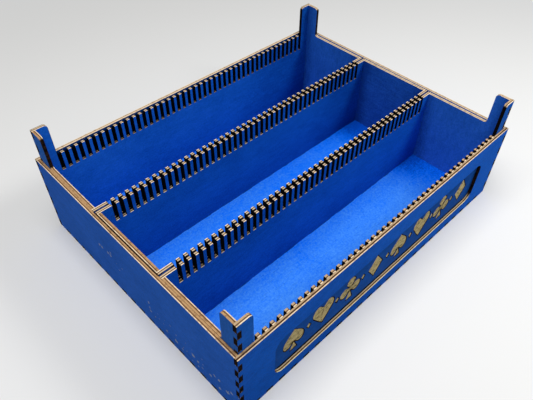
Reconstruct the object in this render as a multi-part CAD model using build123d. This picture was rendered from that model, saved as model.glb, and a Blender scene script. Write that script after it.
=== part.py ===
from build123d import *
import os

# Card tray of laser-cut plywood, in millimetres, +Z up.
# An outer box on a base holds three lane boxes side by side. The long sides of each lane box
# are combs, and the outer corners of the first and last lane boxes rise as stacking posts.
# Every corner is finger-jointed, and the base has tabs in the outer walls.
# The origin is the middle of the base's underside, and the window side faces -Y.

# Sheet and joints
sheet = 2.8                 # plywood thickness
joint_clearance = 0.1       # play between the flanks of a finger or tab and its notch
overrun = 1.0               # how far a cut reaches past an open edge

# Lanes
lane_names = ("front_lane", "middle_lane", "rear_lane")
lane_width = 68.9           # a sleeved card standing upright, with room for fingers
lane_gap = 1.0              # between two lane boxes
front_gap = 0.1             # first lane box to the outer front panel
back_gap = 1.8              # last lane box to the outer back panel
end_play = 1.8              # a lane box is this much shorter than the outer box inside
front_lane_left_gap = 0.2   # how far each lane box stands from the outer left panel
middle_lane_left_gap = 0.7
rear_lane_left_gap = 0.1

# Comb slots along the top of the lane boxes' long sides
slot_count = 46
slot_width = 3.0
tooth_width = 3.0
slot_depth = 16.0

# Heights, from the underside of the base
rim_height = 74.5
post_height = 103.5

# Stacking posts, each an L of two legs
comb_leg = 12.0             # leg on a comb, beside the first slot
end_leg = 14.2              # leg on a lane's end sheet
post_round = 3.0            # free top corner of a leg
leg_fillet = 2.5            # where the rim of an end sheet runs up into its leg

# Window in the outer front panel
window_side_margin = 30.5
window_bottom_margin = 13.0
window_top_margin = 19.5
window_round = 9.0

# Fingers, counted up a corner, and the tabs of the base
outer_finger_count = 11
lane_finger_count = 11
post_finger_count = 15
base_tab = 6.0
base_tab_pitch = 12.0
base_tab_land = 8.0         # least plain stretch between a corner and the first tab

# Overall sizes, worked out from the lanes and the combs
comb_span = slot_count * slot_width + (slot_count - 1) * tooth_width
lane_box_length = comb_span + 2 * comb_leg
lane_box_width = lane_width + 2 * sheet
lane_pitch = lane_box_width + lane_gap
lane_count = len(lane_names)
length = lane_box_length + end_play + 2 * sheet
width = lane_count * lane_pitch - lane_gap + front_gap + back_gap + 2 * sheet
slot_floor = rim_height - slot_depth

# Where the lane boxes stand
lane_left_gaps = (front_lane_left_gap, middle_lane_left_gap, rear_lane_left_gap)
lane_left_faces = [sheet - length / 2 + gap for gap in lane_left_gaps]
lane_front_faces = [sheet - width / 2 + front_gap + k * lane_pitch for k in range(lane_count)]


def block(left, bottom, right, top):
    """A rectangle between two corners."""
    return Pos((left + right) / 2, (bottom + top) / 2) * Rectangle(right - left, top - bottom)


def spread(count, pitch):
    """Places of a row of things, centred on zero."""
    return [(k - (count - 1) / 2) * pitch for k in range(count)]


def at_end(outline, side):
    """An outline drawn for the right-hand end of a sheet, mirrored if side is -1."""
    return outline if side > 0 else mirror(outline, about=Plane.YZ)


def long_sheet(outline, middle, face):
    """A sheet along X from its outline in X and Z, centred on X, its front face at the given Y."""
    return extrude(Plane.XZ.offset(-face) * Pos(middle, 0) * outline, amount=-sheet)


def end_sheet(outline, middle, face):
    """A sheet along Y from its outline in Y and Z, centred on Y, its left face at the given X."""
    return extrude(Plane.YZ.offset(face) * Pos(middle, 0) * outline, amount=sheet)


def finger_notches(span, side, bottom, top, count, first):
    """The notches at one end of a sheet that leave its fingers, counted from the top.

    The sheet keeps every other finger: first is 0 to cut the top one away and 1 to keep it.
    """
    pitch = (top - bottom) / count
    notches = []
    for k in range(first, count, 2):
        upper = top - k * pitch + (overrun if k == 0 else joint_clearance / 2)
        lower = top - (k + 1) * pitch - (overrun if k == count - 1 else joint_clearance / 2)
        notches.append(at_end(block(span / 2 - sheet, lower, span / 2 + overrun, upper), side))
    return notches


def base_tab_places(span):
    """Centres of the base's tabs along one outer wall."""
    count = int((span - 2 * base_tab_land - base_tab) / base_tab_pitch) + 1
    return spread(count, base_tab_pitch)


def base_panel():
    """The base: the floor of all the lanes, with tabs into the outer walls on all sides."""
    outline = Rectangle(length - 2 * sheet, width - 2 * sheet)
    outline += [Pos(x, 0) * Rectangle(base_tab, width) for x in base_tab_places(length)]
    outline += [Pos(0, y) * Rectangle(length, base_tab) for y in base_tab_places(width)]
    return extrude(outline, amount=sheet)


def outer_panel(span, first):
    """Outline of an outer wall: fingers at both ends, notches for the base's tabs below."""
    outline = block(-span / 2, 0, span / 2, rim_height)
    for side in (-1, 1):
        outline -= finger_notches(span, side, 0, rim_height, outer_finger_count, first)
    notch = base_tab + joint_clearance
    return outline - [block(x - notch / 2, -overrun, x + notch / 2, sheet) for x in base_tab_places(span)]


def window():
    """The long rounded opening in the outer front panel."""
    wide = length - 2 * window_side_margin
    high = rim_height - window_bottom_margin - window_top_margin
    return Pos(0, window_bottom_margin + high / 2) * RectangleRounded(wide, high, window_round)


def comb_slots():
    """The open-topped slots that take the lane separators."""
    return [
        block(x - slot_width / 2, slot_floor, x + slot_width / 2, rim_height + overrun)
        for x in spread(slot_count, slot_width + tooth_width)
    ]


def post_leg(span, leg, side):
    """A leg that rises above the rim at one end of a sheet, rounded at its free top corner."""
    outline = block(span / 2 - leg, rim_height, span / 2, post_height)
    free_corner = outline.vertices().group_by(Axis.Y)[-1].sort_by(Axis.X)[0]
    return at_end(fillet(free_corner, post_round), side)


def leg_root(span, leg, side):
    """The rounded inside corner where the rim of an end sheet runs up into its leg."""
    start = span / 2 - leg - leg_fillet
    corner = block(start, rim_height, start + leg_fillet, rim_height + leg_fillet)
    return at_end(corner - Pos(start, rim_height + leg_fillet) * Circle(leg_fillet), side)


def lane_comb(has_posts):
    """Outline of a long side of a lane box: a comb, between two post legs where it is an outer side."""
    top, fingers = (post_height, post_finger_count) if has_posts else (rim_height, lane_finger_count)
    outline = block(-lane_box_length / 2, sheet, lane_box_length / 2, rim_height)
    for side in (-1, 1):
        if has_posts:
            outline += post_leg(lane_box_length, comb_leg, side)
        outline -= finger_notches(lane_box_length, side, sheet, top, fingers, 1)
    return outline - comb_slots()


def lane_end(post_side):
    """Outline of an end of a lane box, with a post leg at the side that is an outer corner."""
    outline = block(-lane_box_width / 2, sheet, lane_box_width / 2, rim_height)
    for side in (-1, 1):
        top, fingers = rim_height, lane_finger_count
        if side == post_side:
            top, fingers = post_height, post_finger_count
            outline += post_leg(lane_box_width, end_leg, side)
            outline += leg_root(lane_box_width, end_leg, side)
        outline -= finger_notches(lane_box_width, side, sheet, top, fingers, 0)
    return outline


pieces = {
    "base_panel": base_panel(),
    "outer_front_panel": long_sheet(outer_panel(length, 1) - window(), 0, -width / 2),
    "outer_back_panel": long_sheet(outer_panel(length, 1), 0, width / 2 - sheet),
    "outer_left_panel": end_sheet(outer_panel(width, 0), 0, -length / 2),
    "outer_right_panel": end_sheet(outer_panel(width, 0), 0, length / 2 - sheet),
}
for k, name in enumerate(lane_names):
    left = lane_left_faces[k]
    front = lane_front_faces[k]
    middle_x = left + lane_box_length / 2
    middle_y = front + lane_box_width / 2
    is_first = k == 0
    is_last = k == lane_count - 1
    ends = lane_end(is_last - is_first)
    pieces[name + "_front_comb"] = long_sheet(lane_comb(is_first), middle_x, front)
    pieces[name + "_back_comb"] = long_sheet(lane_comb(is_last), middle_x, front + lane_box_width - sheet)
    pieces[name + "_left_end"] = end_sheet(ends, middle_y, left)
    pieces[name + "_right_end"] = end_sheet(ends, middle_y, left + lane_box_length - sheet)

os.makedirs("parts", exist_ok=True)
for node, solid in pieces.items():
    solid.label = node
    export_step(solid, "parts/" + node + ".step")
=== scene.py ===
from math import cos, radians, sin

import bmesh
import bpy
from mathutils import Matrix, Vector


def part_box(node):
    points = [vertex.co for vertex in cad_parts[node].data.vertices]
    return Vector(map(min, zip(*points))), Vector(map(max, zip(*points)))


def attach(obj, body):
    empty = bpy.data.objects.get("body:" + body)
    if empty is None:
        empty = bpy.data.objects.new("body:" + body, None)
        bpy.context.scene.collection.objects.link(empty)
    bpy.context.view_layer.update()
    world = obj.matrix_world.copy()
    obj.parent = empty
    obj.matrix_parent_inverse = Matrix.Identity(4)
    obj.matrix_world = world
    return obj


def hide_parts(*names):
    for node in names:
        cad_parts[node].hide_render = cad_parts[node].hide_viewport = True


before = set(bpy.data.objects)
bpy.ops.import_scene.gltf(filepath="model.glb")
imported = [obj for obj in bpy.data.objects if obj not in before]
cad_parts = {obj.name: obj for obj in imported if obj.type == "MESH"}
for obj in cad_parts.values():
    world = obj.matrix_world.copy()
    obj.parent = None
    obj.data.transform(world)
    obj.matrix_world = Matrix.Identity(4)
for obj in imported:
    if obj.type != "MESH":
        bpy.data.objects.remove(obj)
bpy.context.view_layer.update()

# A card tray of laser-cut plywood, stained blue on its faces, with bare cut edges.
# Lengths are in metres, angles in degrees and colours linear, unless a note says otherwise.
# Two numbers for a soft step are where it starts and where it is full.

MM = 0.001
FLUSH = 0.01 * MM            # less than this counts as nothing
X, Y, Z = 0, 1, 2

# Camera: its place and angles, and lengths in pixels of the image
IMAGE_WIDTH = 533
IMAGE_HEIGHT = 400
CAMERA_PLACE = Vector((-0.24185, -0.22980, 0.35178))
CAMERA_HEADING = 44.055      # from +X towards +Y
CAMERA_DIP = 45.720          # below level
CAMERA_ROLL = 1.815
FOCAL_PIXELS = 537.25
LENS_AXIS_PIXEL = (277.09, 199.03)
SENSOR_WIDTH_MM = 36.0

# Light and surroundings
LAMPS = {                    # place, side and power in watts
    "right_lamp": (Vector((0.39, -0.36, 0.60)), 0.22, 2.6),
    "left_lamp": (Vector((-0.28, -0.05, 1.10)), 0.70, 9.6),
}
SKY_STRENGTH = 0.26
SKY_SEEN = (0.86, 0.87, 0.88, 1.0)
FLOOR_SIDE = 6.0
FLOOR_SEEN = (0.78, 0.78, 0.77, 1.0)
FLOOR_BOUNCE = (0.50, 0.50, 0.50, 1.0)
FLOOR_MIRRORED = (0.03, 0.03, 0.03, 1.0)
FLOOR_ROUGHNESS = 0.9
FLOOR_SPECULAR = 0.1
FLOOR_FADE = (0.35, 1.10)    # distances from the tray over which the floor passes into the sky

# Sheets, and the slots and fingers cut into them
LANES = ("front_lane", "middle_lane", "rear_lane")
WINDOW_COMB = "front_lane_front_comb"
LOW_SIDES = ("_front_panel", "_left_panel", "_front_comb", "_left_end")    # they look out towards -X or -Y
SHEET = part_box("base_panel")[1].z
RIM_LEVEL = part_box("outer_back_panel")[1].z
SLOT_COUNT = 46
SLOT_PITCH = 6.0 * MM
SLOT_HALF = 1.5 * MM
SLOT_FLOOR_LEVEL = 58.5 * MM
WALL_FINGERS = 11
POST_FINGERS = 15

# Noise patterns
NOISE_MIDDLE = 0.5
PLAIN_DETAIL = 2.0
FINE_DETAIL = 3.0
PATTERN_SHIFT = 170.0        # per metre of a sheet's place, so that no two sheets look alike
MOTTLE_SHIFT = 9.0
FIBRE_SHIFT = 5.0
SCORCH_SHIFT = 3.0
FULL_SHARE = 0.6             # a spot or a scallop is full over this share of its reach

# How squarely a surface has to look along an axis
FACE_LOOK = (0.45, 0.60)     # to count as a face, and not as a cut edge
SIDE_LOOK = (0.5, 0.7)       # to count as one of the two faces
UP_LOOK = (0.35, 0.85)       # to count as an edge that faces up and shows pale plies; a standing edge is dark with char and painted shade

# Wood, char and stain
SPECULAR_LEVEL = 0.03
VENEER_CREAM = (0.78, 0.61, 0.41, 1.0)
VENEER_WHITE = (0.88, 0.73, 0.51, 1.0)
VENEER_PALE = (0.60, 0.47, 0.31, 1.0)
VENEER_BUFF = (0.48, 0.34, 0.20, 1.0)
VENEER_TAN = (0.45, 0.27, 0.13, 1.0)
RIM_BROWN = (0.15, 0.068, 0.029, 1.0)
RIM_TAN = (0.34, 0.23, 0.15, 1.0)
CORE_BROWN = (0.070, 0.026, 0.008, 1.0)
SILL_CREAM = (0.94, 0.80, 0.44, 1.0)
SILL_BROWN = (0.13, 0.045, 0.004, 1.0)
CHAR_BLACK = (0.006, 0.004, 0.003, 1.0)
CHAR_BROWN = (0.036, 0.017, 0.008, 1.0)
# painted shade, for the faces in the dark gaps between sheets
PAINTED_SHADE_BLACK = (0.003, 0.004, 0.008, 1.0)
BARE_WOOD = (0.68, 0.56, 0.27, 1.0)
BARE_WOOD_DARK = (0.44, 0.34, 0.15, 1.0)
FLECK_WOOD = (0.34, 0.39, 0.47, 1.0)
STAIN_PORE = (0.003, 0.045, 0.22, 1.0)
# stains of the standing sheets, darker than the base's: partly their own colour, partly painted shade
END_STAINS_AND_SHADE = [
    (0.0, (0.006, 0.054, 0.27, 1.0)),
    (0.5, (0.020, 0.134, 0.53, 1.0)),
    (1.0, (0.042, 0.214, 0.78, 1.0)),
]
COMB_STAINS_AND_SHADE = [
    (0.0, (0.001, 0.046, 0.27, 1.0)),
    (0.5, (0.006, 0.113, 0.54, 1.0)),
    (1.0, (0.016, 0.180, 0.78, 1.0)),
]
# the base's stain, paler than the walls': partly a paler floor, partly painted light on the face that looks
# up
BASE_STAINS_AND_LIGHT = [
    (0.0, (0.0005, 0.075, 0.54, 1.0)),
    (0.28, (0.001, 0.148, 0.86, 1.0)),
    (0.5, (0.027, 0.202, 0.84, 1.0)),
    (1.0, (0.085, 0.340, 0.90, 1.0)),
]
STAIN_AND_LIGHT_BY_AXIS = {X: END_STAINS_AND_SHADE, Y: COMB_STAINS_AND_SHADE, Z: BASE_STAINS_AND_LIGHT}    # by the axis along which a sheet is thin; the base, which looks up, is paler than the standing sheets: partly a paler floor, partly painted light and shade

# Patterns of the stain: sizes, or lengths and breadths of streaks along the grain
STAIN_CLOUD = 38.0 * MM
STAIN_MOTTLE = (9.0 * MM, 4.0 * MM)
STAIN_STREAK = (16.0 * MM, 0.7 * MM)
STAIN_SPECKLE = 1.4 * MM
STAIN_FIBRE = (7.0 * MM, 0.35 * MM)
WALL_WEIGHTS = (0.40, 0.30, 0.35, 0.60)    # how far clouds, mottle, streaks and speckles swing the tone
BASE_WEIGHTS = (0.40, 0.20, 0.25, 0.75)
PORE_NOISE = (0.66, 0.74)
PORE_STRENGTH = 0.5
STAIN_ROUGHNESS = 0.55
STAIN_ROUGHNESS_SWING = 0.25
PORE_ROUGHNESS = 0.15
STREAK_RELIEF = 0.5
SPECKLE_RELIEF = 0.5
PORE_RELIEF = 0.6
SHEET_RELIEF = 0.12 * MM

# How a sheet's stain differs from the rest
PLAIN_TONE = 0.5
SHEET_TONES = {              # how much paler or deeper a sheet has taken the stain
    "base_panel": -0.10,
    "rear_lane_back_comb": 0.06,
    "middle_lane_back_comb": -0.06,
    "front_lane_right_end": 0.02,
    "middle_lane_right_end": -0.24,
    "rear_lane_right_end": -0.08,
    "outer_left_panel": 0.20,
}
LIGHT_AND_SHADE_FADES = {              # painted light and shade: where along an axis a sheet's tone starts and ends to change, and by how much
    "base_panel": [
        (Y, -30 * MM, -85 * MM, 0.20),
        (X, -20 * MM, -90 * MM, 0.09),
        (X, 90 * MM, 152 * MM, -0.42),
    ],
    "front_lane_back_comb": [(X, 10 * MM, -50 * MM, -0.07)],
    "middle_lane_back_comb": [(X, 60 * MM, 120 * MM, -0.23)],
    "rear_lane_back_comb": [(X, -60 * MM, -110 * MM, 0.12), (X, 20 * MM, 130 * MM, -0.36)],
    "outer_front_panel": [(X, -80 * MM, 80 * MM, 0.20)],
    "outer_left_panel": [(Y, -55 * MM, -95 * MM, -0.06)],
}
SHEET_TINTS = {              # what a sheet's stain is multiplied by
    "outer_left_panel": (0.82, 0.85, 1.0),
    "outer_front_panel": (0.65, 0.89, 1.0),
    "middle_lane_right_end": (0.90, 0.90, 0.97),
}

# Painted shade on the base in scallops along the feet of the combs; the walls darker towards the base, and
# painted shade on the ends near the corners
SCALLOP_PITCH = 12.0 * MM
SCALLOP_DETAIL = 1.0
SCALLOP_BREADTH = 100.0 * MM    # so broad that a scallop doesn't change across the foot
SCALLOP_NOISE = (0.42, 0.58)
SCALLOP_REACH = 0.45 * MM
FOOT_DARKENING_LEVELS = (36.0 * MM, 3.0 * MM)
FOOT_DARKENING_TONE = 0.22
# painted shade on a lane's ends near its corners
CORNER_SHADE_REACH = (13.0 * MM, 0.0)
CORNER_SHADE_TONE = 0.30

# Plies on the cut edges, in shares of a sheet's thickness from its paler veneer
TURNED_SHEETS = (WINDOW_COMB, "middle_lane_left_end")    # their paler veneer is on the hidden side
PALE_RIMS = (                # the combs with the cleanest tooth tops
    "front_lane_back_comb",
    "middle_lane_front_comb",
    "middle_lane_back_comb",
    "rear_lane_front_comb",
    "rear_lane_back_comb",
)
PLY_WOBBLE = 9.0 * MM
PLY_WOBBLE_SWING = 0.12
VENEER_CHANGE = (0.36, 0.52)     # inside the core, so that it doesn't show
CORE_START = (0.19, 0.28)
CORE_END = 0.58
FRONT_CORE_END = 0.66        # on the rim of the outer front panel
SILL_CORE_END = 0.63         # on the sill of its window
CORE_END_SOFTNESS = 0.10
BURNT_ARRIS = (0.82, 0.90)
RIM_EDGE_LEVELS = (60.0 * MM, 66.0 * MM)     # an edge above them is a rim
GAP_STRETCH = (39.0 * MM, 37.0 * MM)         # how far from its middle the outer left panel's arris is burnt

# Scorch and char of the cut edges
EDGE_SCORCH = 2.2 * MM
SCORCH_NOISE = (0.45, 0.75)
LOW_SCORCH = 0.2
RIM_SCORCH = 0.3             # added along the rims that aren't pale
CHAR_NOISE = (0.35, 0.70)
EDGE_ROUGHNESS = 0.80
EDGE_ROUGHNESS_SWING = 0.2
SLOT_FLOOR_CHAR_AND_SHADE = {         # how dark the slot floors are, at the left and right ends of a comb: char, with painted shade that deepens towards the right
    "front_lane_back_comb": (0.45, 0.82),
    "middle_lane_front_comb": (0.45, 0.82),
    "middle_lane_back_comb": (0.10, 0.72),
    "rear_lane_front_comb": (0.10, 0.72),
    "rear_lane_back_comb": (0.60, 0.88),
}

# Char on the faces, by its distance from a slot or a notch
ARRIS_CHAR = (0.34 * MM, 0.16 * MM)
NOTCH_CHAR = (0.65 * MM, 0.35 * MM)

# Painted shade on the faces that lie against another sheet, for the dark gaps behind the slots and the
# window
PAINTED_SHADE_LEVELS = (48.5 * MM, 52.0 * MM)
PAINTED_SHADE_ENDS = (141.0 * MM, 138.0 * MM)         # along a comb, from the middle of the tray
THIN_SHADE_LEVELS = (70.0 * MM, 73.0 * MM)    # near the rim of the outer back panel, where the painted shade is thinner
# how much of the painted shade is taken off near that rim
SHADE_THINNING = 0.42
SILL_SHADE_LEVELS = (14.7 * MM, 13.9 * MM)    # painted shade along the window's sill, on the comb behind the window
WINDOW_SHADE = 0.32          # thinner painted shade on all of that comb below the rim

# Flecks where the stain has come off the outer left panel, in a slanting band
FLECK_CELL = 6.0 * MM
FLECK_LEAST = 0.09               # reach of the smallest fleck, as a share of a cell
FLECK_SPREAD = 0.26              # how much further the largest one reaches
FLECK_LUCK = (0.35, 0.40)        # a cell with less luck has no fleck
FLECK_BEND = 1.6 * MM            # size of the bends in a fleck's outline
FLECK_BEND_SWING = 3.2 * MM
FLECK_BAND_LEVEL = 32.0 * MM     # height of the band at the middle of the panel
FLECK_BAND_SLOPE = 0.31
FLECK_BAND_FOOT = 16.0 * MM      # the band runs level below this height
FLECK_BAND_HALVES = (15.0 * MM, 5.0 * MM)
FLECK_GAPS = ((-18.0 * MM, 6.0 * MM), (45.0 * MM, 117.0 * MM))    # stretches along Y without flecks
FLECK_GROWTH_STRETCH = (-45.0 * MM, -95.0 * MM)                   # along Y, towards the front
FLECK_GROWTH = 0.5

# Engraved pips in the window
PIP_HEIGHT = 26.0 * MM
PIP_PITCH = 29.0 * MM
PIP_LEVEL = 34.0 * MM        # height of their middles
PIP_ORDER = ("spade", "heart", "club", "diamond") * 2
LOZENGE_HEIGHT = 8.0 * MM
ENGRAVED_DEPTH = 0.45 * MM
GROOVE_WIDTH = 0.75 * MM     # of the burnt outline
FIELD_RISE = 0.20 * MM       # how far the floor of a pip stands above its groove
PIP_RESOLUTION = 8           # steps of an outline from point to point
STAINED, BARE, SCORCHED = 0, 1, 2    # material slots of the engraved comb
BARE_GRAIN = (9.0 * MM, 0.6 * MM)
BARE_GRAIN_NOISE = (0.35, 0.70)
BARE_SCORCH = 2.4 * MM
BARE_SCORCH_NOISE = (0.46, 0.72)
BARE_SCORCH_SHIFT = 2.0
BARE_SCORCH_STRENGTH = 0.7
BARE_ROUGHNESS = 0.75
BARE_ROUGHNESS_SWING = 0.2
BARE_RELIEF = 0.10 * MM
GROOVE_SCORCH = 1.5 * MM
GROOVE_RELIEF = 0.08 * MM

# Right halves of the pips, top to bottom, in shares of the height, and whether each point is a corner
PIP_HALVES = {
    "spade": [
        (0, 0.5, True), (0.40, -0.10, False), (0.24, -0.31, False),
        (0.045, -0.19, True), (0.16, -0.5, True),
    ],
    "heart": [
        (0, 0.29, True), (0.22, 0.46, False), (0.43, 0.22, False),
        (0.27, -0.14, False), (0, -0.5, True),
    ],
    "club": [
        (0, 0.5, False), (0.20, 0.30, False), (0.085, 0.10, True), (0.25, 0.17, False),
        (0.45, -0.05, False), (0.25, -0.27, False), (0.045, -0.14, True), (0.16, -0.5, True),
    ],
    "diamond": [(0, 0.5, True), (0.34, 0, True), (0, -0.5, True)],
}


class Value:
    """A socket of a finish: sums on it add Math nodes."""

    def __init__(self, finish, socket):
        self.finish = finish
        self.socket = socket

    def math(self, operation, other=0.0):
        return self.finish.node("Math", {"operation": operation}, {0: self, 1: other})

    def __add__(self, other):
        return self.math("ADD", other)

    def __sub__(self, other):
        return self.math("SUBTRACT", other)

    def __rsub__(self, other):
        return self.finish.node("Math", {"operation": "SUBTRACT"}, {0: other, 1: self})

    def __mul__(self, other):
        return self.math("MULTIPLY", other)

    def __truediv__(self, other):
        return self.math("DIVIDE", other)

    def __abs__(self):
        return self.math("ABSOLUTE")

    __radd__ = __add__
    __rmul__ = __mul__


class Finish:
    """The nodes of a material or of the sky, with the few steps that the tray's finishes share."""

    def __init__(self, owner):
        self.owner = owner
        self.owner.use_nodes = True
        self.tree = self.owner.node_tree
        self.tree.nodes.clear()

    def node(self, kind, settings=None, inputs=None, output=0):
        """Adds a node of any type and returns one of its outputs."""
        made = self.tree.nodes.new("ShaderNode" + kind)
        for name, setting in (settings or {}).items():
            if name == "stops":
                while len(made.color_ramp.elements) < len(setting):
                    made.color_ramp.elements.new(1.0)
                for element, (position, colour) in zip(made.color_ramp.elements, setting):
                    element.position = position
                    element.color = colour
            else:
                setattr(made, name, setting)
        for name, value in (inputs or {}).items():
            if isinstance(value, Value):
                self.tree.links.new(value.socket, made.inputs[name])
            else:
                made.inputs[name].default_value = value
        return Value(self, made.outputs[output]) if made.outputs else made

    def place(self):
        """A point's place in the tray's own frame."""
        return self.node("TexCoord", output="Object")

    def split(self, vector):
        """The three numbers of a vector or a colour."""
        return [self.node("SeparateXYZ", {}, {0: vector}, axis) for axis in (X, Y, Z)]

    def step(self, value, start, end):
        """0 before start, 1 past end, smooth between; start may be above end."""
        return self.node("MapRange", {"interpolation_type": "SMOOTHSTEP"},
                         {"Value": value, "From Min": start, "From Max": end})

    def mix(self, share, first, second):
        """A colour between two, from the colour sockets of a Mix node."""
        return self.node("Mix", {"data_type": "RGBA"}, {0: share, 6: first, 7: second}, 2)

    def noise(self, sizes, detail=PLAIN_DETAIL, shift=0.0):
        """Noise whose features have these sizes along X, Y and Z."""
        scaled = self.node("VectorMath", {"operation": "MULTIPLY_ADD"},
                           {0: self.place(), 1: [1 / size for size in sizes], 2: [shift] * 3})
        return self.node("TexNoise", {}, {"Vector": scaled, "Scale": 1.0, "Detail": detail})

    def surface(self, colour, roughness, height, distance):
        """The shader, with a colour, a roughness and a relief that vary over the surface."""
        bump = self.node("Bump", {}, {"Height": height, "Distance": distance, "Strength": 1.0})
        shader = self.node("BsdfPrincipled", {}, {
            "Base Color": colour,
            "Roughness": roughness,
            "Normal": bump,
            "Specular IOR Level": SPECULAR_LEVEL,
        })
        self.node("OutputMaterial", {}, {"Surface": shader})
        return self.owner


def swing(pattern, width):
    """A noise's rise and fall about zero, this wide."""
    return (pattern - NOISE_MIDDLE) * width


def depth_inside(value, start, end):
    """How far a value lies inside a stretch; below zero, how far outside."""
    return (end - start) / 2 - abs(value - (start + end) / 2)


def grain_sizes(axis, length, breadth):
    """Sizes of a streak of grain that runs along one axis."""
    return [length if k == axis else breadth for k in (X, Y, Z)]


def lane_stretch(lane):
    """Where a lane starts and ends along Y, between its two combs."""
    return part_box(lane + "_front_comb")[1].y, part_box(lane + "_back_comb")[0].y


def rim_plies(name):
    """What shows along a sheet's rim: its outer veneer, core and inner veneer, and where the core ends."""
    if name == "outer_front_panel":
        return VENEER_CREAM, CORE_BROWN, VENEER_BUFF, FRONT_CORE_END
    if name == "outer_back_panel":
        return VENEER_CREAM, RIM_TAN, VENEER_CREAM, CORE_END
    if "_right_" in name:
        return VENEER_CREAM, RIM_TAN, VENEER_PALE, CORE_END
    if name in PALE_RIMS:
        return VENEER_WHITE, RIM_BROWN, VENEER_PALE, CORE_END
    if name == WINDOW_COMB:
        return VENEER_WHITE, RIM_BROWN, VENEER_BUFF, CORE_END
    return VENEER_CREAM, RIM_BROWN, VENEER_TAN, CORE_END


def low_plies(name):
    """The same below the rim: on the sill of the window and the floors of the slots."""
    if name == "outer_front_panel":
        return SILL_CREAM, SILL_BROWN, VENEER_PALE, SILL_CORE_END
    return VENEER_WHITE, CORE_BROWN, VENEER_PALE, CORE_END


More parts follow.
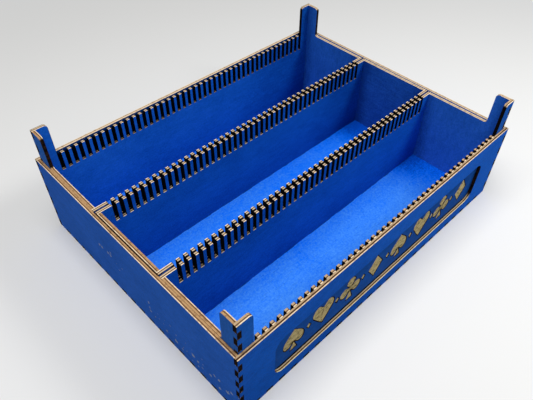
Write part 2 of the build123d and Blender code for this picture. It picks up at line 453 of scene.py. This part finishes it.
class Plywood(Finish):
    """The finish of one sheet: stained faces and cut edges, told apart by the way a surface looks."""

    def __init__(self, name):
        super().__init__(bpy.data.materials.new(name + "_plywood"))
        self.name = name
        self.low, self.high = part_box(name)
        extents = self.high - self.low
        self.thin, _, self.grain = sorted((X, Y, Z), key=lambda axis: extents[axis])
        self.along = X if self.thin == Y else Y
        self.is_base = self.thin == Z
        self.is_comb = name.endswith("_comb")
        self.outward = -1 if name.endswith(LOW_SIDES) else 1
        self.hidden = -self.outward if name.startswith("outer_") else self.outward
        self.shift = PATTERN_SHIFT * (sum(self.low) + sum(self.high))
        self.position = self.split(self.place())
        self.facing = self.split(self.node("TexCoord", output="Normal"))
        self.across = (self.position[self.thin] - self.low[self.thin]) / extents[self.thin]
        if (self.hidden < 0) != (name in TURNED_SHEETS):
            self.across = 1.0 - self.across

    def looks(self, side):
        """1 on the face at one side of the sheet, 1 or -1 along its thickness, and 0 elsewhere."""
        return self.step(self.facing[self.thin] * side, *SIDE_LOOK)

    def foot_and_corner_darkening(self):
        """How much darker a lane's walls are: towards a comb's foot, and with painted shade near an end's
        corners.
        """
        if self.is_comb:
            return self.step(self.position[Z], *FOOT_DARKENING_LEVELS) * FOOT_DARKENING_TONE
        lane = self.name.rsplit("_", 2)[0]
        from_corner = depth_inside(self.position[Y], *lane_stretch(lane))
        return self.step(from_corner, *CORNER_SHADE_REACH) * CORNER_SHADE_TONE

    def tone(self):
        """How pale the sheet's stain is, with painted light and shade fading along the sheet, and the
        lanes' walls darker near a comb's foot and with painted shade near an end's corners.
        """
        tone = PLAIN_TONE + SHEET_TONES.get(self.name, 0.0)
        # painted light and shade, fading along the sheet
        for axis, start, end, change in LIGHT_AND_SHADE_FADES.get(self.name, []):
            tone = tone + self.step(self.position[axis], start, end) * change
        if "_lane_" in self.name:
            tone = tone - self.foot_and_corner_darkening() * self.looks(-self.hidden)
        return tone

    def stain(self):
        """The blue stain: cloudy in the large, streaked along the grain and speckled in the small."""
        cloud = self.noise([STAIN_CLOUD] * 3, FINE_DETAIL, self.shift)
        mottle = self.noise(grain_sizes(self.grain, *STAIN_MOTTLE), FINE_DETAIL, self.shift + MOTTLE_SHIFT)
        streak = self.noise(grain_sizes(self.grain, *STAIN_STREAK), FINE_DETAIL, self.shift)
        speckle = self.noise([STAIN_SPECKLE] * 3, PLAIN_DETAIL, self.shift)
        fibre = self.noise(grain_sizes(self.grain, *STAIN_FIBRE), PLAIN_DETAIL, self.shift + FIBRE_SHIFT)
        tone = self.tone()
        weights = BASE_WEIGHTS if self.is_base else WALL_WEIGHTS
        for pattern, weight in zip((cloud, mottle, streak, speckle), weights):
            tone = tone + swing(pattern, weight)
        colour = self.node("ValToRGB", {"stops": STAIN_AND_LIGHT_BY_AXIS[self.thin]}, {0: tone})
        pores = self.step(fibre, *PORE_NOISE)
        colour = self.mix(pores * PORE_STRENGTH, colour, STAIN_PORE)
        if self.name in SHEET_TINTS:
            tint = SHEET_TINTS[self.name]
            colour = self.node("VectorMath", {"operation": "MULTIPLY"}, {0: colour, 1: tint})
        roughness = STAIN_ROUGHNESS + swing(speckle, STAIN_ROUGHNESS_SWING) + pores * PORE_ROUGHNESS
        relief = streak * STREAK_RELIEF + speckle * SPECKLE_RELIEF - pores * PORE_RELIEF
        return colour, roughness, relief

    def painted_shade(self):
        """Painted shade: where the face that lies against another sheet is blackened, behind the slots,
        along the window's sill and behind the window.
        """
        height = self.position[Z]
        below_rim = self.step(height, RIM_LEVEL + FLUSH, RIM_LEVEL)
        shade_share = self.step(height, *PAINTED_SHADE_LEVELS) * below_rim
        if self.is_comb:
            shade_share = shade_share * self.step(abs(self.position[X]), *PAINTED_SHADE_ENDS)
        if self.name == WINDOW_COMB:
            shade_share = shade_share + self.step(height, *SILL_SHADE_LEVELS) + below_rim * WINDOW_SHADE
        if self.name == "outer_back_panel":
            shade_share = shade_share * (1.0 - self.step(height, *THIN_SHADE_LEVELS) * SHADE_THINNING)
        return shade_share * self.looks(self.hidden)

    def foot_scallop_shade(self):
        """Painted shade on the base in uneven scallops, along the feet of the lanes' combs."""
        from_wall = depth_inside(self.position[Y], *lane_stretch(LANES[0]))
        for lane in LANES[1:]:
            from_wall = from_wall.math("MAXIMUM", depth_inside(self.position[Y], *lane_stretch(lane)))
        scallop = self.noise([SCALLOP_PITCH, SCALLOP_BREADTH, SCALLOP_BREADTH], SCALLOP_DETAIL)
        reach = self.step(scallop, *SCALLOP_NOISE) * SCALLOP_REACH + FLUSH
        return self.step(from_wall, reach, reach * FULL_SHARE) * self.looks(1)

    def flecks(self):
        """Where bare wood shows through the stain: small ragged spots in a slanting band."""
        bends = {"Vector": self.place(), "Scale": 1 / FLECK_BEND, "Detail": PLAIN_DETAIL}
        bend_along, bend_up, _ = self.split(self.node("TexNoise", {}, bends, "Color"))
        along = (self.position[Y] + swing(bend_along, FLECK_BEND_SWING)) / FLECK_CELL
        up = (self.position[Z] + swing(bend_up, FLECK_BEND_SWING)) / FLECK_CELL
        flat = {"voronoi_dimensions": "2D"}
        cells = {"Vector": self.node("CombineXYZ", {}, {0: along, 1: up}), "Scale": 1.0}
        from_middle = self.node("TexVoronoi", flat, cells, "Distance")
        luck, size, _ = self.split(self.node("TexVoronoi", flat, cells, "Color"))
        slant = FLECK_BAND_LEVEL + self.position[Y] * FLECK_BAND_SLOPE
        band_middle = slant.math("MAXIMUM", FLECK_BAND_FOOT)
        in_band = self.step(abs(self.position[Z] - band_middle), *FLECK_BAND_HALVES)
        for start, end in FLECK_GAPS:
            in_gap = depth_inside(self.position[Y], start, end)
            in_band = in_band * self.step(in_gap, FLECK_CELL / 2, -FLECK_CELL / 2)
        growth = 1.0 + self.step(self.position[Y], *FLECK_GROWTH_STRETCH) * FLECK_GROWTH
        reach = (size * size * FLECK_SPREAD + FLECK_LEAST) * growth * self.step(luck * in_band, *FLECK_LUCK)
        return self.step(from_middle, reach, reach * FULL_SHARE) * self.looks(self.outward)

    def slot_char(self):
        """Where the laser has charred a comb beside its slots, on the faces and on the tooth tops."""
        from_middle = self.position[X] - (self.low.x + self.high.x) / 2
        slot_phase = from_middle + SLOT_PITCH * SLOT_COUNT + SLOT_PITCH / 2
        from_slot = slot_phase.math("PINGPONG", SLOT_PITCH / 2) - SLOT_HALF
        row_half = SLOT_PITCH * (SLOT_COUNT - 1) / 2 + SLOT_HALF
        beyond_row = abs(from_middle) - row_half
        beside = self.step(from_slot.math("MAXIMUM", beyond_row), *ARRIS_CHAR)
        return beside * self.step(self.position[Z], SLOT_FLOOR_LEVEL, SLOT_FLOOR_LEVEL + ARRIS_CHAR[0])

    def notch_char(self):
        """Where the laser has charred the outward face round the notches at a sheet's two ends."""
        first = 1 if self.along == X else 0    # fingers that a sheet keeps above its first notch
        post_side = 1 if self.low.y + self.high.y > 0 else -1
        place, low, high = self.position[self.along], self.low[self.along], self.high[self.along]
        charred = 0.0
        for side, from_end in ((-1, place - low), (1, high - place)):
            has_post = self.high.z > RIM_LEVEL + FLUSH and (self.along == X or side == post_side)
            top, count = (self.high.z, POST_FINGERS) if has_post else (RIM_LEVEL, WALL_FINGERS)
            pitch = (top - self.low.z) / count
            phase = top + pitch * (2 * count - first) - pitch / 2 - self.position[Z]
            beyond_height = phase.math("PINGPONG", pitch) - pitch / 2
            charred = charred + self.step(beyond_height.math("MAXIMUM", from_end - SHEET), *NOTCH_CHAR)
        return charred * self.looks(self.outward)

    def plies(self, scorch, at_rim):
        """The three plies of an edge that faces up, paler along the rims, and burnt in places."""
        rim_outer, rim_core, rim_inner, rim_core_end = rim_plies(self.name)
        low_outer, low_core, low_inner, low_core_end = low_plies(self.name)
        outer_veneer = self.mix(at_rim, low_outer, rim_outer)
        core = self.mix(at_rim, low_core, rim_core)
        inner_veneer = self.mix(at_rim, low_inner, rim_inner)
        core_end = low_core_end + at_rim * (rim_core_end - low_core_end)
        ply = self.across + swing(self.noise([PLY_WOBBLE] * 3, PLAIN_DETAIL, self.shift), PLY_WOBBLE_SWING)
        veneers = self.mix(self.step(ply, *VENEER_CHANGE), outer_veneer, inner_veneer)
        in_core = self.step(ply, *CORE_START) * self.step(ply, core_end, core_end - CORE_END_SOFTNESS)
        plies = self.mix(in_core, veneers, core)
        scorched = LOW_SCORCH + at_rim * (0.0 if self.name in PALE_RIMS else RIM_SCORCH)
        plies = self.mix(self.step(scorch, *SCORCH_NOISE) * scorched, plies, CORE_BROWN)
        if self.name in PALE_RIMS:
            plies = self.mix(self.step(ply, *BURNT_ARRIS), plies, CHAR_BROWN)
        if self.name == "outer_left_panel":
            by_gap = self.step(abs(self.position[Y]), *GAP_STRETCH)
            plies = self.mix(self.step(ply, *BURNT_ARRIS) * by_gap, plies, CHAR_BROWN)
        # a black line along the sill's inner arris: burnt, and painted shade of the gap behind it
        if self.name == "outer_front_panel":
            plies = self.mix(self.step(ply, *BURNT_ARRIS) * (1.0 - at_rim), plies, CHAR_BLACK)
        return plies

    def slot_floor_char_and_shade(self):
        """How dark the floors of a comb's slots are, from its left end to its right one: char, with painted
        shade that deepens towards the right.
        """
        left_share, right_share = SLOT_FLOOR_CHAR_AND_SHADE[self.name]
        row_half = SLOT_PITCH * SLOT_COUNT / 2
        return left_share + self.step(self.position[X], -row_half, row_half) * (right_share - left_share)

    def cut_edge(self):
        """A laser-cut edge: plies where it faces up, and char with painted shade where it stands."""
        scorch = self.noise([EDGE_SCORCH] * 3, FINE_DETAIL, self.shift + SCORCH_SHIFT)
        at_rim = self.step(self.position[Z], *RIM_EDGE_LEVELS)
        plies = self.plies(scorch, at_rim)
        # char on the slot floors, with painted shade that deepens towards the right
        if self.name in SLOT_FLOOR_CHAR_AND_SHADE:
            plies = self.mix(self.slot_floor_char_and_shade() * (1.0 - at_rim), plies, CHAR_BROWN)
        # standing edges near-black: char, and painted shade by which way an edge faces
        char_and_shade = self.mix(self.step(scorch, *CHAR_NOISE), CHAR_BLACK, CHAR_BROWN)
        colour = self.mix(self.step(self.facing[Z], *UP_LOOK), char_and_shade, plies)
        return colour, EDGE_ROUGHNESS + swing(scorch, EDGE_ROUGHNESS_SWING), scorch

    def finished(self):
        """The whole finish: stain, marks and painted shade on the faces, cut edges, and char round the
        cuts.
        """
        colour, face_roughness, face_relief = self.stain()
        if not self.is_base and "_right_" not in self.name:
            # painted shade on the faces hidden in the gaps between sheets
            colour = self.mix(self.painted_shade(), colour, PAINTED_SHADE_BLACK)
        if self.is_base:
            # painted shade in uneven scallops along the combs' feet
            colour = self.mix(self.foot_scallop_shade(), colour, STAIN_PORE)
        if self.name == "outer_left_panel":
            colour = self.mix(self.flecks(), colour, FLECK_WOOD)
        edge_colour, edge_roughness, edge_relief = self.cut_edge()
        on_face = self.step(abs(self.facing[self.thin]), *FACE_LOOK)
        colour = self.mix(on_face, edge_colour, colour)
        if self.is_comb:
            colour = self.mix(self.slot_char(), colour, CHAR_BLACK)
        if not self.is_base:
            colour = self.mix(self.notch_char(), colour, CHAR_BLACK)
        roughness = edge_roughness + (face_roughness - edge_roughness) * on_face
        relief = edge_relief + (face_relief - edge_relief) * on_face
        return self.surface(colour, roughness, relief, SHEET_RELIEF)


def bare_wood_finish():
    """The floor of the engraving: bare veneer with its grain along the sheet."""
    finish = Finish(bpy.data.materials.new("engraved_bare_wood"))
    streak = finish.noise(grain_sizes(X, *BARE_GRAIN), FINE_DETAIL)
    scorch = finish.noise([BARE_SCORCH] * 3, FINE_DETAIL, BARE_SCORCH_SHIFT)
    colour = finish.mix(finish.step(streak, *BARE_GRAIN_NOISE), BARE_WOOD, BARE_WOOD_DARK)
    scorched = finish.step(scorch, *BARE_SCORCH_NOISE) * BARE_SCORCH_STRENGTH
    colour = finish.mix(scorched, colour, CHAR_BROWN)
    roughness = BARE_ROUGHNESS + swing(streak, BARE_ROUGHNESS_SWING)
    return finish.surface(colour, roughness, streak, BARE_RELIEF)


def scorched_groove_finish():
    """The burnt outline of the engraving."""
    finish = Finish(bpy.data.materials.new("scorched_groove"))
    scorch = finish.noise([GROOVE_SCORCH] * 3, FINE_DETAIL)
    colour = finish.mix(finish.step(scorch, *CHAR_NOISE), CHAR_BLACK, CHAR_BROWN)
    roughness = EDGE_ROUGHNESS + swing(scorch, EDGE_ROUGHNESS_SWING)
    return finish.surface(colour, roughness, scorch, GROOVE_RELIEF)


def linked_object(name, data):
    """A new object in the scene."""
    made = bpy.data.objects.new(name, data)
    bpy.context.collection.objects.link(made)
    return made


def evaluated_mesh(source):
    """A mesh of an object as it stands, with its modifiers or its curve's thickness."""
    bpy.context.view_layer.update()
    return bpy.data.meshes.new_from_object(source.evaluated_get(bpy.context.evaluated_depsgraph_get()))


def pip_outline(curve, half, middle, level, height):
    """Adds one pip to a flat curve: its right half as given, and its left half mirrored."""
    points = half + [(-x, y, is_corner) for x, y, is_corner in reversed(half) if x]
    spline = curve.splines.new("BEZIER")
    spline.bezier_points.add(len(points) - 1)
    spline.use_cyclic_u = True
    for point, (x, y, is_corner) in zip(spline.bezier_points, points):
        point.co = (middle + x * height, level + y * height, 0)
        point.handle_left_type = point.handle_right_type = "VECTOR" if is_corner else "AUTO"


def pip_cutter(face):
    """A mesh of all the pips, as deep as the engraving, standing across a sheet's front face."""
    curve = bpy.data.curves.new("pip_outlines", "CURVE")
    curve.dimensions = "2D"
    curve.fill_mode = "BOTH"
    curve.extrude = ENGRAVED_DEPTH
    curve.resolution_u = PIP_RESOLUTION
    for k, kind in enumerate(PIP_ORDER):
        middle = (k - (len(PIP_ORDER) - 1) / 2) * PIP_PITCH
        pip_outline(curve, PIP_HALVES[kind], middle, PIP_LEVEL, PIP_HEIGHT)
        if k:
            pip_outline(curve, PIP_HALVES["diamond"], middle - PIP_PITCH / 2, PIP_LEVEL, LOZENGE_HEIGHT)
    outlines = linked_object("pip_outlines", curve)
    prisms = evaluated_mesh(outlines)
    bpy.data.objects.remove(outlines)
    prisms.transform(Matrix.Translation((0, face, 0)) @ Matrix.Rotation(radians(90), 4, "X"))
    bm = bmesh.new()
    bm.from_mesh(prisms)
    bmesh.ops.remove_doubles(bm, verts=bm.verts, dist=FLUSH)
    bmesh.ops.recalc_face_normals(bm, faces=bm.faces)
    bm.to_mesh(prisms)
    bm.free()
    return linked_object("pip_cutter", prisms)


def engrave(comb, face):
    """Cuts the pips out of a comb's front face and returns the mesh that is left."""
    cutter = pip_cutter(face)
    cut = comb.modifiers.new("engraving", "BOOLEAN")
    cut.operation = "DIFFERENCE"
    cut.solver = "EXACT"
    cut.object = cutter
    engraved = evaluated_mesh(comb)
    comb.modifiers.remove(cut)
    bpy.data.objects.remove(cutter)
    return engraved


def groove_pips(bm, floor_y):
    """Sinks a groove round the floor of each pip, and gives floors and grooves their finishes."""
    for each in bm.faces:
        each.material_index = STAINED
    floors = [each for each in bm.faces if all(abs(v.co.y - floor_y) < FLUSH for v in each.verts)]
    walls = {each for floor in floors for edge in floor.edges for each in edge.link_faces} - set(floors)
    rings = bmesh.ops.inset_region(bm, faces=floors, thickness=GROOVE_WIDTH, depth=FIELD_RISE,
                                   use_boundary=True, use_even_offset=True)["faces"]
    for each in floors:
        each.material_index = BARE
    for each in list(walls) + rings:
        each.material_index = SCORCHED


def engraved_comb(node, finishes):
    """A copy of the front lane's outer comb with a row of pips engraved where the window shows it."""
    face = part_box(node)[0].y
    plain = bpy.data.meshes.new("plain_comb")
    bm = bmesh.new()
    bm.from_mesh(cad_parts[node].data)
    bmesh.ops.remove_doubles(bm, verts=bm.verts, dist=FLUSH)
    bm.to_mesh(plain)
    bm.free()
    comb = linked_object("engraved_front_comb", plain)
    engraved = engrave(comb, face)
    engraved.materials.clear()
    for finish in finishes:
        engraved.materials.append(finish)
    bm = bmesh.new()
    bm.from_mesh(engraved)
    groove_pips(bm, face + ENGRAVED_DEPTH)
    bm.to_mesh(engraved)
    bm.free()
    comb.data = engraved
    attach(comb, "root")
    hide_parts(node)


def photograph_camera():
    """The camera at the photograph's place and angle."""
    heading, dip, roll = (radians(angle) for angle in (CAMERA_HEADING, CAMERA_DIP, CAMERA_ROLL))
    forward = Vector((cos(heading) * cos(dip), sin(heading) * cos(dip), -sin(dip)))
    level_right = Vector((sin(heading), -cos(heading), 0.0))
    level_up = level_right.cross(forward)
    right = cos(roll) * level_right + sin(roll) * level_up
    up = cos(roll) * level_up - sin(roll) * level_right
    lens = bpy.data.cameras.new("photograph_camera")
    lens.sensor_width = SENSOR_WIDTH_MM
    lens.lens = FOCAL_PIXELS / IMAGE_WIDTH * SENSOR_WIDTH_MM
    lens.shift_x = (IMAGE_WIDTH / 2 - LENS_AXIS_PIXEL[0]) / IMAGE_WIDTH
    lens.shift_y = (LENS_AXIS_PIXEL[1] - IMAGE_HEIGHT / 2) / IMAGE_WIDTH
    camera = linked_object("photograph_camera", lens)
    turn = Matrix((right, up, -forward)).transposed().to_4x4()
    camera.matrix_world = Matrix.Translation(CAMERA_PLACE) @ turn
    bpy.context.scene.camera = camera


def floor_finish():
    """A pale floor that passes into the sky far from the tray, and throws little light back at it."""
    finish = Finish(bpy.data.materials.new("studio_floor"))
    is_seen = finish.node("LightPath", output="Is Camera Ray")
    colour = finish.mix(finish.node("LightPath", output="Is Glossy Ray"), FLOOR_BOUNCE, FLOOR_MIRRORED)
    colour = finish.mix(is_seen, colour, FLOOR_SEEN)
    lit = finish.node("BsdfPrincipled", {}, {
        "Base Color": colour,
        "Roughness": FLOOR_ROUGHNESS,
        "Specular IOR Level": FLOOR_SPECULAR,
    })
    sky = finish.node("Emission", {}, {"Color": SKY_SEEN})
    away = finish.node("VectorMath", {"operation": "LENGTH"}, {0: finish.place()}, "Value")
    fade = finish.step(away, *FLOOR_FADE) * is_seen
    finish.node("OutputMaterial", {}, {"Surface": finish.node("MixShader", {}, {0: fade, 1: lit, 2: sky})})
    return finish.owner


def studio_floor():
    """A plain floor under the tray."""
    mesh = bpy.data.meshes.new("studio_floor")
    bm = bmesh.new()
    bmesh.ops.create_grid(bm, x_segments=1, y_segments=1, size=FLOOR_SIDE / 2)
    bm.to_mesh(mesh)
    bm.free()
    mesh.materials.append(floor_finish())
    floor = linked_object("studio_floor", mesh)


def studio_light():
    """A broad soft lamp high above the left, a smaller one at the front right, and an even sky."""
    for name, (place, side, watts) in LAMPS.items():
        light = bpy.data.lights.new(name, "AREA")
        light.size = side
        light.energy = watts
        lamp = linked_object(name, light)
        aim = (-place).to_track_quat("-Z", "Y").to_matrix().to_4x4()
        lamp.matrix_world = Matrix.Translation(place) @ aim
    sky = Finish(bpy.data.worlds.new("studio_sky"))
    is_seen = sky.node("LightPath", output="Is Camera Ray")
    dim = sky.node("Background", {}, {"Strength": SKY_STRENGTH})
    seen = sky.node("Background", {}, {"Color": SKY_SEEN})
    sky.node("OutputWorld", {}, {"Surface": sky.node("MixShader", {}, {0: is_seen, 1: dim, 2: seen})})
    bpy.context.scene.world = sky.owner


photograph_camera()
studio_floor()
studio_light()
bpy.context.scene.view_settings.view_transform = "Standard"

sheet_finishes = {name: Plywood(name).finished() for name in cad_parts}
for name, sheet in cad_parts.items():
    sheet.data.materials.clear()
    sheet.data.materials.append(sheet_finishes[name])
engraved_comb(WINDOW_COMB, [sheet_finishes[WINDOW_COMB], bare_wood_finish(), scorched_groove_finish()])
